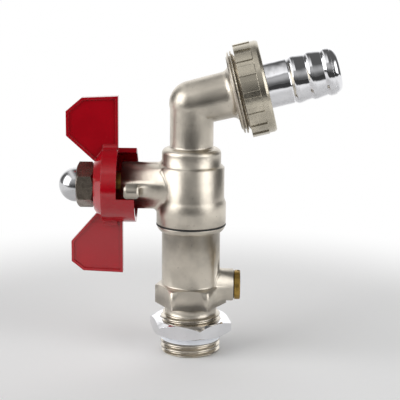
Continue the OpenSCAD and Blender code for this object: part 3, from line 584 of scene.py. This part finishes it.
def studio_world(lights, ambient):
    """World whose soft boxes light the tap; the camera sees plain white behind it."""
    world = bpy.data.worlds.new("studio")
    bpy.context.scene.world = world
    world.use_nodes = True
    world.node_tree.nodes.clear()
    kit = NodeKit(world.node_tree)
    way = kit.node("ShaderNodeTexCoord")
    total = None
    for name, azimuth, elevation, width, height, soft, power in lights:
        az, el = math.radians(azimuth), math.radians(elevation)
        ahead = Vector((math.sin(az) * math.cos(el), -math.cos(az) * math.cos(el), math.sin(el)))
        across = Vector((math.cos(az), math.sin(az), 0))
        up = across.cross(ahead)
        if up.z < 0:
            up = -up

        def along(axis):
            return kit.node("ShaderNodeVectorMath", {"operation": "DOT_PRODUCT"},
                            {0: way, 1: axis}, output=1)

        deep = along(ahead)
        safe = kit.node("ShaderNodeMath", {"operation": "MAXIMUM"}, {0: deep, 1: 0.02})
        edge = math.tan(math.radians(soft))
        reach_u = math.tan(math.radians(min(width, 80)))
        reach_v = math.tan(math.radians(min(height, 80)))
        mask = (abs(along(across) / safe).below(max(0, reach_u - edge), reach_u + edge)
                * abs(along(up) / safe).below(max(0, reach_v - edge), reach_v + edge)
                * deep.above(0.0, 0.05)) * power
        total = mask if total is None else total + mask
    level = total + ambient
    glow = kit.node("ShaderNodeBackground", None, {"Color": (1, 1, 1, 1), "Strength": level})
    plain = kit.node("ShaderNodeBackground", None, {"Color": (1, 1, 1, 1), "Strength": 1.0})
    seen = kit.node("ShaderNodeLightPath")
    shown = kit.node("ShaderNodeMixShader", None, {0: seen, 1: glow, 2: plain})
    kit.node("ShaderNodeOutputWorld", None, {0: shown})
    return world


class HOSETAP_OT_studio(bpy.types.Operator):
    """Set up the floor, the soft light and the camera"""

    bl_idname = "hosetap.studio"
    bl_label = "Studio"

    def execute(self, context):
        studio = context.scene.hosetap_studio
        bm = bmesh.new()
        bmesh.ops.create_circle(bm, cap_ends=True, segments=96, radius=4.0)
        mesh = bpy.data.meshes.new("floor")
        bm.to_mesh(mesh)
        bm.free()
        floor = bpy.data.objects.new("floor", mesh)
        context.scene.collection.objects.link(floor)
        material = bpy.data.materials.new("floor_paper")
        material.use_nodes = True
        material.node_tree.nodes.clear()
        kit = NodeKit(material.node_tree)
        place = kit.node("ShaderNodeTexCoord", output=3)
        split = material.node_tree.nodes.new("ShaderNodeSeparateXYZ")
        material.node_tree.links.new(place.socket, split.inputs[0])
        x, y = Level(kit, split.outputs[0]), Level(kit, split.outputs[1])
        reach = (x * x + y * y) ** 0.5
        grain = kit.node("ShaderNodeTexNoise", None, {"Vector": place, "Scale": 400.0})
        paper = kit.node("ShaderNodeBsdfDiffuse", None, {
            "Color": kit.mix(grain, studio.floor, tuple(c * 0.985 for c in studio.floor))})
        path = kit.node("ShaderNodeLightPath")
        front = y.above(-0.26, -0.18)
        level = front * 0.95 + 0.05
        camera = path
        glow = kit.node("ShaderNodeEmission", None, {
            "Color": (1, 1, 1, 1), "Strength": camera + (1 - camera) * level})
        mixed = kit.node("ShaderNodeMixShader", None, {0: reach.above(0.10, 0.2), 1: paper, 2: glow})
        kit.node("ShaderNodeOutputMaterial", None, {0: mixed})
        mesh.materials.append(material)

        studio_world(LIGHTS, 0.12)
        context.scene.view_settings.view_transform = "Standard"

        lens = bpy.data.cameras.new("camera")
        lens.lens = studio.lens
        lens.sensor_width = 36
        lens.clip_start = 0.01
        lens.clip_end = 20
        camera = bpy.data.objects.new("camera", lens)
        context.scene.collection.objects.link(camera)
        az, el = studio.azimuth, studio.elevation
        away = Vector((math.sin(az) * math.cos(el), -math.cos(az) * math.cos(el), math.sin(el)))
        target = Vector((studio.side, 0, studio.height))
        look = (-away).to_track_quat("-Z", "Y").to_matrix().to_4x4()
        camera.matrix_world = (Matrix.Translation(target + away * studio.distance) @ look
                               @ Matrix.Rotation(studio.roll, 4, "Z"))
        context.scene.camera = camera
        return {"FINISHED"}


class HOSETAP_PT_panel(bpy.types.Panel):
    """Lists the steps and sizes of the hose tap"""

    bl_idname = "HOSETAP_PT_panel"
    bl_label = "Hose tap"
    bl_space_type = "VIEW_3D"
    bl_region_type = "UI"
    bl_category = "Hose tap"

    def draw(self, context):
        for step in STEPS:
            self.layout.operator(step.bl_idname)
        for group, title in GROUPS:
            self.layout.label(text=title)
            for name in getattr(context.scene, group).__annotations__:
                self.layout.prop(getattr(context.scene, group), name)


STEPS = (HOSETAP_OT_inlet_thread, HOSETAP_OT_spout_thread, HOSETAP_OT_fillets,
         HOSETAP_OT_finishes, HOSETAP_OT_studio)
GROUPS = (("hosetap_threads", "Threads"), ("hosetap_fillets", "Fillets"),
          ("hosetap_finishes", "Finishes"), ("hosetap_studio", "Studio"))
GROUP_TYPES = (ThreadSizes, FilletSizes, FinishColours, StudioSettings)


def register():
    """Registers the settings, the operators and the panel."""
    for kind in (*GROUP_TYPES, *STEPS, HOSETAP_PT_panel):
        bpy.utils.register_class(kind)
    for (name, _title), kind in zip(GROUPS, GROUP_TYPES):
        setattr(bpy.types.Scene, name, bpy.props.PointerProperty(type=kind))


def unregister():
    """Takes everything back out that register put in."""
    for name, _title in GROUPS:
        delattr(bpy.types.Scene, name)
    for kind in reversed((*GROUP_TYPES, *STEPS, HOSETAP_PT_panel)):
        bpy.utils.unregister_class(kind)


def main():
    """Builds the dressed tap step by step."""
    register()
    bpy.ops.hosetap.inlet_thread()
    bpy.ops.hosetap.spout_thread()
    bpy.ops.hosetap.fillets()
    bpy.ops.hosetap.finishes()
    bpy.ops.hosetap.studio()


if __name__ == "__main__":
    main()
